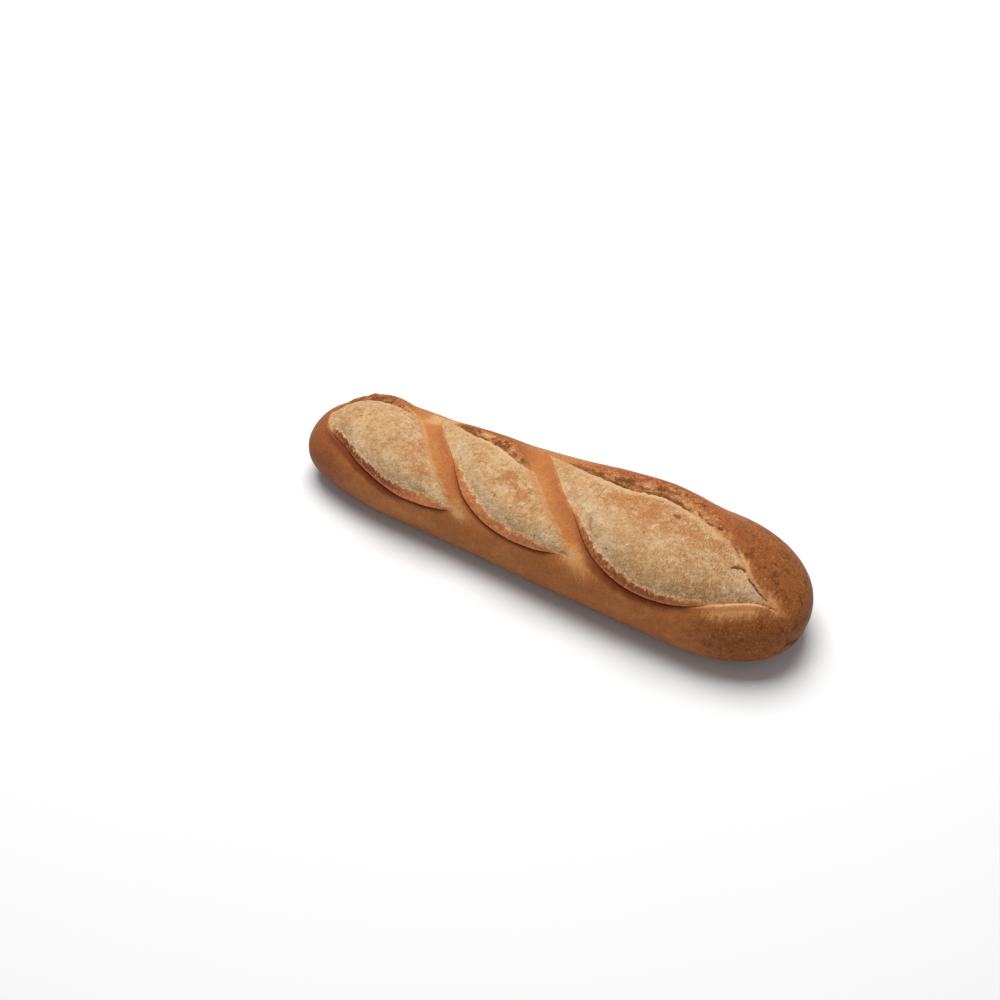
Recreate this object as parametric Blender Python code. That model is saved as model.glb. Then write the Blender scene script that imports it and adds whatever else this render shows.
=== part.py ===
"""Hoagie roll: one long crusty bread roll with three slanting scores.

The roll lies along X with its thin end at -X and rests on the plane Z = 0. Its skin starts as one
sphere whose poles become the two tips. The sphere is carried onto a plain loaf, and the loaf is
then raised and lowered by the relief of the scores: the browned ear on the near side of each, the
arched crumb, and on the far side the torn valley with the lip of crust that stands over it.
"""

from collections import namedtuple

import bmesh
import bpy
import numpy as np

MM = 0.001
DEGREE = np.pi / 180.0

# ---------------------------------------------------------------- driving dimensions
LENGTH = 270.0 * MM               # tip to tip, along X
THIN_HALF_WIDTH = 30.6 * MM       # half the width near the thin end, at -X
FAT_HALF_WIDTH = 37.5 * MM        # half the width near the fat end, at +X
CROWN = 45.0 * MM                 # height of the fat half over the table, before the scores lift it
TAPER_FROM, TAPER_TO = 0.24, 0.71   # shares of the length between which the roll widens
CROWN_FOLLOWS_WIDTH = 0.75        # 1 keeps the section's proportions as the roll widens, 0 keeps its height
WAIST = 0.42                      # height of the widest line, as a share of the crown's height
THIN_CAP, FAT_CAP = 59.0 * MM, 52.5 * MM   # length of each rounded end
THIN_BLUNTNESS, FAT_BLUNTNESS = 0.71, 0.84   # under 1 an end is blunter than an ellipse
TOP_POWER, SOLE_POWER = 2.15, 2.9   # 2 is a round section, more is squarer
SOLE_DIP = 1.07                   # over 1 the sole is pressed flat on the table
END_LIFT = 0.9                    # how the sole rises with the rounding of the ends
BEND = 3.7 * MM                   # how far the middle of the roll bows towards +Y
THIN_END_SHIFT = 4.1 * MM         # how far the thin end is pushed towards +Y
THIN_SHIFT_SHARE = 0.37           # the share of the length that this push reaches
THIN_TIP_BACK = 0.45              # the very tip turns this share of the way back
THIN_TIP_SHARE = 0.10             # the share of the length that does so
GIRTH_RADIUS = 30.0 * MM          # turns an angle round the roll into a distance on its skin

# ---------------------------------------------------------------- the scores
# A score is a leaf shape that runs from start to end, both places along X. Three lines follow it
# from tip to tip: its near edge, the foot of the ear below that edge, and its far edge. Each line
# is a table of angles from the crown line, in degrees, positive towards -Y, at even turns from tip
# to tip: even turns crowd at the tips, as the hours of a clock do when it is seen from its side.
# Over the stretch torn, two shares of its run, the far edge is torn open, tear_width across. Over
# the stretch lip the crust beyond the tear stands up as a lip, lip_rise high.
Score = namedtuple("Score", "start end near foot far torn tear_width lip lip_rise")
SCORES = (
    Score(start=-126.5 * MM, end=-40.5 * MM,
          near=(-6.0, 0.7, 18.1, 29.0, 39.9, 48.6, 53.4, 52.4, 54.0, 57.1, 59.0),
          foot=(-6.0, 13.9, 28.9, 38.6, 50.9, 61.0, 67.7, 67.5, 62.9, 58.6, 59.0),
          far=(-6.0, -7.4, -27.3, -31.3, -30.3, -23.5, 1.5, 24.2, 41.7, 54.4, 59.0),
          torn=(0.01, 0.43), tear_width=8.0 * MM, lip=(0.02, 0.55), lip_rise=3.2 * MM),
    Score(start=-72.0 * MM, end=23.5 * MM,
          near=(-36.0, -27.5, -13.2, 3.8, 24.9, 43.6, 50.2, 52.0, 54.3, 54.5, 56.0),
          foot=(-36.0, -27.2, -11.0, 7.7, 38.7, 56.8, 63.7, 63.5, 58.3, 55.4, 56.0),
          far=(-36.0, -40.2, -36.0, -27.8, -23.1, -11.9, 1.1, 22.3, 37.4, 49.2, 56.0),
          torn=(0.07, 0.62), tear_width=8.0 * MM, lip=(-0.05, 0.60), lip_rise=1.9 * MM),
    Score(start=-12.0 * MM, end=123.5 * MM,
          near=(-36.0, -27.8, -8.0, 12.6, 37.2, 51.6, 51.5, 42.9, 31.6, 27.3, 27.5),
          foot=(-36.0, -27.0, -6.4, 16.5, 48.2, 62.2, 60.3, 45.3, 32.3, 27.8, 27.5),
          far=(-36.0, -33.4, -27.8, -22.0, -18.3, -22.4, -13.7, -2.6, 15.9, 26.3, 27.5),
          torn=(0.05, 0.80), tear_width=10.5 * MM, lip=(0.08, 0.99), lip_rise=2.8 * MM),
)
START_FADE, END_FADE = 0.20, 0.12   # shares of the turn over which the relief grows from its tips
EAR_RISE = 2.8 * MM               # height of the ear over the crust beside it
EAR_FULL = 5.0 * MM               # the ear stands fully where its face is at least this wide
EAR_LEAST = 0.10                  # share of its height where there is no ear
EAR_RUN = 3.0 * MM                # least distance over which the crust climbs to the ear
DOME_RISE = 2.0 * MM              # how far the risen crumb arches over the ear
DOME_SPAN = 30.0 * MM             # width of a score at which the crumb arches fully
SEAM_DEPTH = 0.7 * MM             # how far the crumb dips where it meets the far edge
SEAM_RUN = 4.5 * MM               # width of that dip beyond the edge
VALLEY_DEPTH = 1.8 * MM           # how much deeper the tear is
VALLEY_RUN = 5.0 * MM             # width of the valley on the crumb's side
LIP_SPREAD = 17.0 * MM            # distance over which the lip sinks back into the crust
TEAR_FULLNESS = 0.8               # under 1 a tear keeps its width further towards its ends
CRAG_HEIGHT = 0.9 * MM            # unevenness of the torn bread
CRAG_SIZE = 5.5 * MM
LUMP_HEIGHT = 0.5 * MM            # slow unevenness of the whole skin
LUMP_SIZE = 38.0 * MM
LUMP_SEED, CRAG_SEED = 5, 11
SKIRT_FROM, SKIRT_TO = 95.0, 130.0   # angles between which all relief dies out towards the sole


def smooth(t):
    """0 below 0, 1 above 1 and the S-curve 3t^2 - 2t^3 between them."""
    t = np.clip(t, 0.0, 1.0)
    return t * t * (3.0 - 2.0 * t)


def lattice_noise(points, cell, seed):
    """Smooth noise from -1 to 1: random values at the corners of cubic cells, blended by S-curves."""
    table = np.random.default_rng(seed).uniform(-1.0, 1.0, 4096)
    place = points / cell
    corner = np.floor(place).astype(np.int64)
    part = smooth(place - corner)
    total = np.zeros(points.shape[:-1])
    for step in np.ndindex(2, 2, 2):
        key = (corner + step) @ np.array((73856093, 19349663, 83492791))
        weight = np.where(step, part, 1.0 - part).prod(axis=-1)
        total += weight * table[key % len(table)]
    return total


def along_roll(share):
    """X and the closing of the ends, from 0 at a tip to 1, at a share of the way along the skin.

    Each end is a quarter turn: X follows its cosine and the closing its sine, raised to the bluntness.
    """
    thin_arc = THIN_CAP * np.pi / 2
    fat_arc = FAT_CAP * np.pi / 2
    straight = LENGTH - THIN_CAP - FAT_CAP
    travel = share * (thin_arc + straight + fat_arc)
    thin_turn = np.clip(travel / THIN_CAP, 0.0, np.pi / 2)
    fat_turn = np.clip((thin_arc + straight + fat_arc - travel) / FAT_CAP, 0.0, np.pi / 2)
    x = THIN_CAP * (1.0 - np.cos(thin_turn)) + np.clip(travel - thin_arc, 0.0, straight)
    x += FAT_CAP * np.cos(fat_turn) - LENGTH / 2
    return x, np.sin(thin_turn) ** THIN_BLUNTNESS * np.sin(fat_turn) ** FAT_BLUNTNESS


def plain_loaf(share, angle):
    """The unscored loaf: a superellipse section, its lower half squarer and cut flat at the table."""
    x, closing = along_roll(share)
    run = x / LENGTH + 0.5
    taper = smooth((run - TAPER_FROM) / (TAPER_TO - TAPER_FROM))
    half_width = THIN_HALF_WIDTH + (FAT_HALF_WIDTH - THIN_HALF_WIDTH) * taper
    crown = CROWN * (half_width / FAT_HALF_WIDTH) ** CROWN_FOLLOWS_WIDTH
    waist = WAIST * crown
    tip_back = 1.0 - THIN_TIP_BACK * smooth(1.0 - run / THIN_TIP_SHARE)
    aside = THIN_END_SHIFT * tip_back * smooth(1.0 - run / THIN_SHIFT_SHARE)
    middle = BEND * (1.0 - (2.0 * run - 1.0) ** 2) + aside
    side, up = np.sin(angle), np.cos(angle)
    power = 2.0 / np.where(up >= 0.0, TOP_POWER, SOLE_POWER)
    y = middle - half_width * closing * np.sign(side) * np.abs(side) ** power
    above = waist + (crown - waist) * closing * np.abs(up) ** power
    below = waist - SOLE_DIP * waist * closing ** END_LIFT * np.abs(up) ** power
    z = np.maximum(np.where(up >= 0.0, above, below), 0.0)
    return np.stack([np.broadcast_to(x, y.shape), y, z], axis=-1)


def smooth_curve(values, share):
    """A Catmull-Rom curve through evenly spaced values, at shares from 0 to 1 of the way along them."""
    values = np.array(values)
    ends = np.concatenate([[2 * values[0] - values[1]], values, [2 * values[-1] - values[-2]]])
    place = np.clip(share, 0.0, 1.0) * (len(values) - 1)
    at = np.minimum(place.astype(int), len(values) - 2)
    t = place - at
    a, b, c, d = ends[at], ends[at + 1], ends[at + 2], ends[at + 3]
    return b + 0.5 * t * (c - a + t * (2 * a - 5 * b + 4 * c - d + t * (3 * (b - c) + d - a)))


def x_turn(score, x):
    """The turn at x, from 0 to 1: x swings from start to end like the cosine of half a circle."""
    run = np.clip((x - score.start) / (score.end - score.start), 0.0, 1.0)
    return np.arccos(1.0 - 2.0 * run) / np.pi


def girths(score, x):
    """Distances round the loaf from the crown line to the near edge, the ear's foot and the far edge."""
    turn = x_turn(score, x)
    return [GIRTH_RADIUS * DEGREE * smooth_curve(line, turn) for line in (score.near, score.foot, score.far)]


def half_wave(score, x, stretch):
    """Half a sine wave, filled out a little, over a stretch of the score given as two shares of its run."""
    run = (x - score.start) / (score.end - score.start)
    place = np.clip((run - stretch[0]) / (stretch[1] - stretch[0]), 0.0, 1.0)
    return np.sin(np.pi * place) ** TEAR_FULLNESS


def score_relief(score, x, girth):
    """Height that one score adds, and how torn the bread is there, from 0 to 1.

    Going across from the near side: a climb to the ear, the arch of the crumb, a seam or a torn
    valley at the far edge, then the lip, which sinks back into the crust. Distances from an edge
    are square to it: a step round the loaf is divided by how much longer it is than a square one.
    """
    step = 0.5 * MM
    near, foot, far = girths(score, x)
    near_on, _, far_on = girths(score, x + step)
    near_stretch = np.hypot(1.0, (near_on - near) / step)
    far_stretch = np.hypot(1.0, (far_on - far) / step)
    in_near, in_far = (near - girth) / near_stretch, (girth - far) / far_stretch
    turn = x_turn(score, x)
    shown = smooth(turn / START_FADE) * smooth((1.0 - turn) / END_FADE)
    torn = half_wave(score, x, score.torn)
    lip = score.lip_rise * half_wave(score, x, score.lip)
    ear = smooth((foot - near) / EAR_FULL)
    ear_rise = EAR_RISE * (EAR_LEAST + (1.0 - EAR_LEAST) * ear)
    ear_run = np.maximum((foot - near) / near_stretch, EAR_RUN)
    width = np.maximum(in_near + in_far, MM)
    across = np.clip(in_near / width, 0.0, 1.0)
    floor = SEAM_DEPTH + VALLEY_DEPTH * torn
    climb = ear_rise * smooth(1.0 + in_near / ear_run) * (1.0 - smooth(across))
    arch = DOME_RISE * np.sin(np.pi * across) * np.minimum(width / DOME_SPAN, 1.0)
    dip = floor * smooth(1.0 - in_far / VALLEY_RUN)
    crumb = climb + arch - dip
    beyond = np.maximum(-in_far, 0.0)
    tear_width = np.maximum(score.tear_width * torn, SEAM_RUN)
    bank = -floor + (lip + floor) * smooth(beyond / tear_width)
    crust = lip * smooth(1.0 - (beyond - tear_width) / LIP_SPREAD)
    height = np.where(in_far > 0.0, crumb, np.where(beyond < tear_width, bank, crust))
    raw = shown * torn * smooth(1.0 + in_far / tear_width) * smooth(1.0 - in_far / VALLEY_RUN)
    return shown * height, raw


def skin(share, angle):
    """The finished skin: the loaf moved along its normals by the lumps, the scores and the crags."""
    loaf = plain_loaf(share, angle)
    step = 1e-4
    before = plain_loaf(np.maximum(share - step, 0.0), angle)
    after = plain_loaf(np.minimum(share + step, 1.0), angle)
    left = plain_loaf(share, angle - step)
    right = plain_loaf(share, angle + step)
    normal = np.cross(right - left, after - before)
    normal /= np.maximum(np.linalg.norm(normal, axis=-1, keepdims=True), 1e-12)
    x = loaf[..., 0]
    girth = np.broadcast_to(GIRTH_RADIUS * angle, x.shape)
    height = LUMP_HEIGHT * lattice_noise(loaf, LUMP_SIZE, LUMP_SEED)
    for score in SCORES:
        rise, raw = score_relief(score, x, girth)
        height = height + rise + CRAG_HEIGHT * raw * lattice_noise(loaf, CRAG_SIZE, CRAG_SEED)
    _, closing = along_roll(share)
    skirt = smooth((SKIRT_TO - np.abs(angle) / DEGREE) / (SKIRT_TO - SKIRT_FROM))
    return loaf + normal * (height * skirt * smooth(2.0 * closing))[..., None]


# ---------------------------------------------------------------- the mesh
RINGS = 104                       # rings of faces from tip to tip
SEGMENTS = 56                     # faces round each ring
TOP_CROWDING = 0.4                # how much closer the columns stand on the top than on the sole
SIDE_CROWDING = 0.1               # the same for the top and both sides together
SLANT = 0.075                     # how far the rings lean with the scores, as a share of the skin's run


def skin_places(unit_points):
    """The share along the skin and the angle from the crown for each point of a unit sphere.

    The latitude gives the share and the longitude the angle. The angle is spread so that most
    columns fall where the scores are, and the rings lean so that they run along the scores.
    """
    share = np.arccos(np.clip(-unit_points[:, 2], -1.0, 1.0)) / np.pi
    turn = np.arctan2(unit_points[:, 1], unit_points[:, 0])
    angle = turn - TOP_CROWDING * np.sin(turn) + SIDE_CROWDING * np.sin(2.0 * turn)
    lean = SLANT * np.sin(angle) * np.sin(np.pi * share) ** 2
    return share + lean, angle


def crust_material():
    """A matt golden-brown crust."""
    material = bpy.data.materials.new("crust")
    material.use_nodes = True
    shader = material.node_tree.nodes["Principled BSDF"]
    shader.inputs["Base Color"].default_value = (0.45, 0.23, 0.10, 1.0)
    shader.inputs["Roughness"].default_value = 0.75
    shader.inputs["Metallic"].default_value = 0.0
    return material


def bread_roll():
    """The whole roll as one closed body."""
    shape = bmesh.new()
    bmesh.ops.create_uvsphere(shape, u_segments=SEGMENTS, v_segments=RINGS, radius=1.0)
    mesh = bpy.data.meshes.new("bread_roll")
    shape.to_mesh(mesh)
    shape.free()
    points = np.empty(len(mesh.vertices) * 3)
    mesh.vertices.foreach_get("co", points)
    points = skin(*skin_places(points.reshape(-1, 3)))
    points[:, 1] -= (points[:, 1].min() + points[:, 1].max()) / 2   # the width is centred over the origin
    mesh.vertices.foreach_set("co", points.ravel())
    mesh.shade_smooth()
    mesh.materials.append(crust_material())
    return bpy.data.objects.new("bread_roll", mesh)


for old in list(bpy.data.objects):
    bpy.data.objects.remove(old, do_unlink=True)
collection = bpy.data.collections.new("hoagie_roll")
bpy.context.scene.collection.children.link(collection)
collection.objects.link(bread_roll())
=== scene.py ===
# %% [markdown]
# # A hoagie roll in its baked finish
# The roll is one piece of bread, but its surface is not one thing. A smooth brown crust covers
# most of it. Three slanting scores were cut before baking, and in the oven the dough rose out of
# them: a floury, pale dome of crumb fills each one, with a browned ear along its near side and a
# torn bank of bread on its far side. This lesson builds each of those as a numpy surface, and
# gives each one its own procedural finish.

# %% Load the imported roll
from collections import namedtuple

import bpy
import numpy as np
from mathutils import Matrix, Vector


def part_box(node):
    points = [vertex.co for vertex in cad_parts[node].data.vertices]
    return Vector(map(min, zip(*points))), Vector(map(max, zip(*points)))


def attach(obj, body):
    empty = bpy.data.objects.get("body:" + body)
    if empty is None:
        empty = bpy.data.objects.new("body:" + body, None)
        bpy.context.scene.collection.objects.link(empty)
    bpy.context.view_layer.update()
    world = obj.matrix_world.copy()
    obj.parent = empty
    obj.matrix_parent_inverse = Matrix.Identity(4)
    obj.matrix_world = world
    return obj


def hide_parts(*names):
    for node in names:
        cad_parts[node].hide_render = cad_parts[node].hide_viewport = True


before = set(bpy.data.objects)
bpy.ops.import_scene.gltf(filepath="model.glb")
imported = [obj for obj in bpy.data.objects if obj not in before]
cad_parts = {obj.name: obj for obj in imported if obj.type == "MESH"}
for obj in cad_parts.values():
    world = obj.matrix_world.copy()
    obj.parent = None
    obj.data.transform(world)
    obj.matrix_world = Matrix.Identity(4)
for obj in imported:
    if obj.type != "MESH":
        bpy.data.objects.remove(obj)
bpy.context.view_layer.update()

NODE = "bread_roll"
low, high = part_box(NODE)
print("the packed roll measures", [round(b - a, 4) for a, b in zip(low, high)], "m")

# %% [markdown]
# ## The plain loaf
# A loaf is easiest to describe by two numbers: how far along its skin a point is, from tip to
# tip, and the angle round it from the crown line. Everything else is worked out from those. The
# section is a superellipse, which is a round that can be made squarer, and the underside is
# pressed flat. All sizes are in millimetres of a 270 mm roll, so the whole loaf follows the
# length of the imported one.

# %% Sizes of the loaf
MM = (high[0] - low[0]) / 270.0
DEGREE = np.pi / 180.0
LENGTH = 270.0 * MM
THIN_HALF_WIDTH, FAT_HALF_WIDTH = 30.6 * MM, 37.5 * MM
CROWN = 45.0 * MM
TAPER_FROM, TAPER_TO = 0.24, 0.71
CROWN_FOLLOWS_WIDTH = 0.75
WAIST = 0.42
THIN_CAP, FAT_CAP = 59.0 * MM, 52.5 * MM
THIN_BLUNTNESS, FAT_BLUNTNESS = 0.71, 0.84
TOP_POWER, SOLE_POWER = 2.15, 2.9
SOLE_DIP = 1.07
END_LIFT = 0.9
BEND = 3.7 * MM
THIN_END_SHIFT = 4.1 * MM
THIN_SHIFT_SHARE = 0.37
THIN_TIP_BACK, THIN_TIP_SHARE = 0.45, 0.10  # the last tenth of the thin end turns partly back
MIDDLE_SHIFT = -2.8 * MM          # brings the bent loaf back over its origin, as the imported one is
GIRTH_RADIUS = 30.0 * MM          # turns an angle round the roll into a distance on its skin
LUMP_HEIGHT, LUMP_SIZE, LUMP_SEED = 0.5 * MM, 38.0 * MM, 5
print(f"a millimetre of the 270 mm roll is {MM:.6f} m here")


def smooth(t):
    """0 below 0, 1 above 1 and the S-curve 3t^2 - 2t^3 between them."""
    t = np.clip(t, 0.0, 1.0)
    return t * t * (3.0 - 2.0 * t)


def fade(distance, reach):
    """1 at a line, 0 from its reach on and an S-curve between."""
    return smooth(1.0 - distance / reach)


def lattice_noise(points, cell, seed):
    """Smooth noise from -1 to 1: random values at the corners of cubic cells, blended by S-curves."""
    table = np.random.default_rng(seed).uniform(-1.0, 1.0, 4096)
    place = points / cell
    corner = np.floor(place).astype(np.int64)
    part = smooth(place - corner)
    total = np.zeros(points.shape[:-1])
    for step in np.ndindex(2, 2, 2):
        key = (corner + step) @ np.array((73856093, 19349663, 83492791))
        weight = np.where(step, part, 1.0 - part).prod(axis=-1)
        total += weight * table[key % len(table)]
    return total


def rough_noise(points, cell, seed, octaves=3):
    """Lattice noise with finer noise added: each octave has half the cell and 0.55 of the height."""
    layers = [0.55 ** n * lattice_noise(points, cell / 2 ** n, seed + n) for n in range(octaves)]
    return sum(layers) / sum(0.55 ** n for n in range(octaves))


def noise_along(x, cell, seed):
    """Rough noise that changes only along the roll, for a column of x."""
    return rough_noise(x * (1.0, 0.0, 0.0), cell, seed)[:, None]


# %% The loaf as a function of two numbers
def along_roll(share):
    """X and the closing of the ends, from 0 at a tip to 1, at a share of the way along the skin.

    Each end is a quarter turn: X follows its cosine and the closing its sine, raised to the bluntness.
    """
    thin_arc = THIN_CAP * np.pi / 2
    fat_arc = FAT_CAP * np.pi / 2
    straight = LENGTH - THIN_CAP - FAT_CAP
    travel = share * (thin_arc + straight + fat_arc)
    thin_turn = np.clip(travel / THIN_CAP, 0.0, np.pi / 2)
    fat_turn = np.clip((thin_arc + straight + fat_arc - travel) / FAT_CAP, 0.0, np.pi / 2)
    x = THIN_CAP * (1.0 - np.cos(thin_turn)) + np.clip(travel - thin_arc, 0.0, straight)
    x += FAT_CAP * np.cos(fat_turn) - LENGTH / 2
    return x, np.sin(thin_turn) ** THIN_BLUNTNESS * np.sin(fat_turn) ** FAT_BLUNTNESS


SHARES = np.linspace(0.0, 1.0, 4001)
SHARE_XS = along_roll(SHARES)[0]


def share_at(x):
    """The share along the skin at which the loaf reaches x: along_roll read backwards."""
    return np.interp(x, SHARE_XS, SHARES)


def plain_loaf(share, angle):
    """The unscored loaf: a superellipse section, its lower half squarer and cut flat at the table."""
    x, closing = along_roll(share)
    run = x / LENGTH + 0.5
    taper = smooth((run - TAPER_FROM) / (TAPER_TO - TAPER_FROM))
    half_width = THIN_HALF_WIDTH + (FAT_HALF_WIDTH - THIN_HALF_WIDTH) * taper
    crown = CROWN * (half_width / FAT_HALF_WIDTH) ** CROWN_FOLLOWS_WIDTH
    waist = WAIST * crown
    aside = fade(run, THIN_SHIFT_SHARE) * (1.0 - THIN_TIP_BACK * fade(run, THIN_TIP_SHARE))
    middle = BEND * (1.0 - (2.0 * run - 1.0) ** 2) + THIN_END_SHIFT * aside
    side, up = np.sin(angle), np.cos(angle)
    power = 2.0 / np.where(up >= 0.0, TOP_POWER, SOLE_POWER)
    y = MIDDLE_SHIFT + middle - half_width * closing * np.sign(side) * np.abs(side) ** power
    above = waist + (crown - waist) * closing * np.abs(up) ** power
    below = waist - SOLE_DIP * waist * closing ** END_LIFT * np.abs(up) ** power
    z = np.maximum(np.where(up >= 0.0, above, below), 0.0)
    return np.stack([np.broadcast_to(x, y.shape), y, z], axis=-1)


def loaf_normal(share, angle):
    """The outward direction: the cross product of short steps round the loaf and along it."""
    step = 1e-4
    round_step = plain_loaf(share, angle + step) - plain_loaf(share, angle - step)
    ahead, behind = np.minimum(share + step, 1.0), np.maximum(share - step, 0.0)
    long_step = plain_loaf(ahead, angle) - plain_loaf(behind, angle)
    normal = np.cross(round_step, long_step)
    return normal / np.maximum(np.linalg.norm(normal, axis=-1, keepdims=True), 1e-12)


def lumps(loaf):
    """Low swellings of the whole roll. Every piece rides on them, so that edges stay together."""
    return LUMP_HEIGHT * lattice_noise(loaf, LUMP_SIZE, LUMP_SEED)


def on_loaf(x, girth, height):
    """A point over the loaf: at x, at a distance round from the crown line, and a height off the skin."""
    share, angle = share_at(x), girth / GIRTH_RADIUS
    loaf = plain_loaf(share, angle)
    return loaf + loaf_normal(share, angle) * (height + lumps(loaf))[..., None]


# %% [markdown]
# ## The scores
# A baker draws the blade along the roll at a slant, and the dough opens into a leaf shape. Three
# lines describe each opening: its near edge, where the pale crumb ends, the foot of the ear, a
# little lower, where the bread meets the crust again, and its far edge. Each line is kept as
# angles round the loaf at eleven even turns from tip to tip, with a smooth curve through them.
# Even turns are like the hours on a clock seen from the side: they crowd at the tips, where the
# leaf turns quickest. From the lines any point can be asked how far inside or outside the score
# it lies, and every height and colour below is a function of that answer.

# %% Where the scores run
Score = namedtuple("Score", "start end near foot far torn tear_width lip lip_rise golden_from scorch")
SCORES = (
    Score(start=-126.5 * MM, end=-40.5 * MM,
          near=(-6.0, 0.7, 18.1, 29.0, 39.9, 48.6, 53.4, 52.4, 54.0, 57.1, 59.0),
          foot=(-6.0, 13.9, 28.9, 38.6, 50.9, 61.0, 67.7, 67.5, 62.9, 58.6, 59.0),
          far=(-6.0, -7.4, -27.3, -31.3, -30.3, -23.5, 1.5, 24.2, 41.7, 54.4, 59.0),
          torn=(0.01, 0.41), tear_width=8.0 * MM, lip=(0.02, 0.50), lip_rise=3.2 * MM,
          golden_from=2.0, scorch=(0.9, 0.0, 0.72)),
    Score(start=-72.0 * MM, end=23.5 * MM,
          near=(-36.0, -27.5, -13.2, 3.8, 24.9, 43.6, 50.2, 52.0, 54.3, 54.5, 56.0),
          foot=(-36.0, -27.2, -11.0, 7.7, 38.7, 56.8, 63.7, 63.5, 58.3, 55.4, 56.0),
          far=(-36.0, -40.2, -36.0, -27.8, -23.1, -11.9, 1.1, 22.3, 37.4, 49.2, 56.0),
          torn=(0.07, 0.62), tear_width=8.0 * MM, lip=(-0.05, 0.60), lip_rise=1.9 * MM,
          golden_from=2.0, scorch=(0.2, 0.25, 0.85)),
    Score(start=-12.0 * MM, end=123.5 * MM,
          near=(-36.0, -27.8, -8.0, 12.6, 37.2, 51.6, 51.5, 42.9, 31.6, 27.3, 27.5),
          foot=(-36.0, -27.0, -6.4, 16.5, 48.2, 62.2, 60.3, 45.3, 32.3, 27.8, 27.5),
          far=(-36.0, -33.4, -27.8, -22.0, -18.3, -22.4, -13.7, -2.6, 15.9, 26.3, 27.5),
          torn=(0.05, 0.80), tear_width=10.5 * MM, lip=(0.08, 0.90), lip_rise=2.8 * MM,
          golden_from=0.62, scorch=(0.8, 0.27, 0.72)),
)
START_FADE, END_FADE = 0.30, 0.12  # shares of the turn over which a score's relief grows from its tips
EAR_RISE = 2.8 * MM               # height of the ear over the crust beside it
EAR_REACH = 0.88                  # how far its face bulges, as a share of the way to its foot
EAR_FULL = 5.0 * MM               # the ear stands fully where its face is at least this wide
EAR_FROM, EAR_GROWTH = 0.12, 0.3  # the turn at which it starts, and over how much it grows
LOW_EDGE = 0.3 * MM               # where there is no ear, how far the crumb lies below the crust
DOME_RISE = 2.0 * MM              # how far the risen crumb arches over the ear
DOME_SPAN = 30.0 * MM             # width of a score at which the crumb arches fully
CREST_RISE, CREST_RUN = 0.5 * MM, 4.0 * MM
VALLEY_DEPTH = 2.0 * MM           # how far the tear lies below the loaf
LIP_SPREAD = 17.0 * MM            # distance over which the lip sinks back into the crust
TEAR_FULLNESS = 0.8
print("the scores run", [round((score.end - score.start) / MM, 1) for score in SCORES], "mm along the roll")

# %% [markdown]
# Every height and colour beside a score starts from a few questions. At which turn of the leaf is
# this x? How far round the loaf are the three lines there, and how steeply do they run? How fully
# do the ear and the tear stand? One short function answers each of them.

# %% Measure from the scores
def smooth_curve(values, share):
    """A Catmull-Rom curve through evenly spaced values, at shares from 0 to 1 of the way along them."""
    values = np.array(values)
    ends = np.concatenate([[2 * values[0] - values[1]], values, [2 * values[-1] - values[-2]]])
    place = np.clip(share, 0.0, 1.0) * (len(values) - 1)
    at = np.minimum(place.astype(int), len(values) - 2)
    t = place - at
    a, b, c, d = ends[at], ends[at + 1], ends[at + 2], ends[at + 3]
    return b + 0.5 * t * (c - a + t * (2 * a - 5 * b + 4 * c - d + t * (3 * (b - c) + d - a)))


def turn_x(score, turn):
    """X at a turn: it swings from the score's start to its end like the cosine of half a circle."""
    return score.start + (score.end - score.start) * 0.5 * (1.0 - np.cos(np.pi * turn))


def x_turn(score, x):
    """The turn at x: turn_x read backwards."""
    run = np.clip((x - score.start) / (score.end - score.start), 0.0, 1.0)
    return np.arccos(1.0 - 2.0 * run) / np.pi


def girths(score, turn):
    """Distances round the loaf from the crown line to the near edge, the ear's foot and the far edge."""
    lines = (score.near, score.foot, score.far)
    return [GIRTH_RADIUS * DEGREE * smooth_curve(line, turn) for line in lines]


def stretches(score, turn):
    """For each of the three lines, how much longer a step round the loaf is than a step square to it."""
    step = 0.004
    before, after = np.clip(turn - step, 0.0, 1.0), np.clip(turn + step, 0.0, 1.0)
    run = turn_x(score, after) - turn_x(score, before)
    return [np.hypot(1.0, (b - a) / run) for a, b in zip(girths(score, before), girths(score, after))]


def tip_fade(turn):
    """0 at both tips of a score and 1 between them."""
    return smooth(turn / START_FADE) * smooth((1.0 - turn) / END_FADE)


def ear_share(turn, near, foot):
    """How fully the ear stands: by the width of its face, growing over the first part of the score."""
    return smooth((foot - near) / EAR_FULL) * smooth((turn - EAR_FROM) / EAR_GROWTH)


def scorch_and_shade_share(score, turn):
    """The strength of an ear's scorch and painted shade: it grows from one turn and fades to another."""
    strength, grows_from, fades_to = score.scorch
    return strength * smooth((turn - grows_from) / 0.15) * smooth((fades_to - turn) / 0.2)


def half_wave(score, x, stretch):
    """Half a sine wave, filled out a little, over a stretch of the score given as two shares of its run."""
    run = (x - score.start) / (score.end - score.start)
    place = np.clip((run - stretch[0]) / (stretch[1] - stretch[0]), 0.0, 1.0)
    return np.sin(np.pi * place) ** TEAR_FULLNESS


for score in SCORES:
    near, foot, far = girths(score, np.linspace(0.0, 1.0, 200))
    opening, ear_depth = (near - far).max() / MM, (foot - near).max() / MM
    print(f"a score opened {opening:.0f} mm wide, with an ear {ear_depth:.1f} mm deep")

# %% [markdown]
# ## From grids to meshes
# Every piece here is a closed skin: rows of points run round it, and the first and the last row
# shrink to a single point, as on a globe. One function turns such a grid into a mesh, with the
# rows joined by quads and the two poles by fans. Numbers that a finish needs later, such as how
# far a point is from a torn edge, go along as attributes of the vertices.


# %% One function for every closed skin
def put_in_scene(name, data):
    """An object that shows a mesh, a lamp or a camera."""
    holder = bpy.data.objects.new(name, data)
    bpy.context.scene.collection.objects.link(holder)
    return holder


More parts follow.
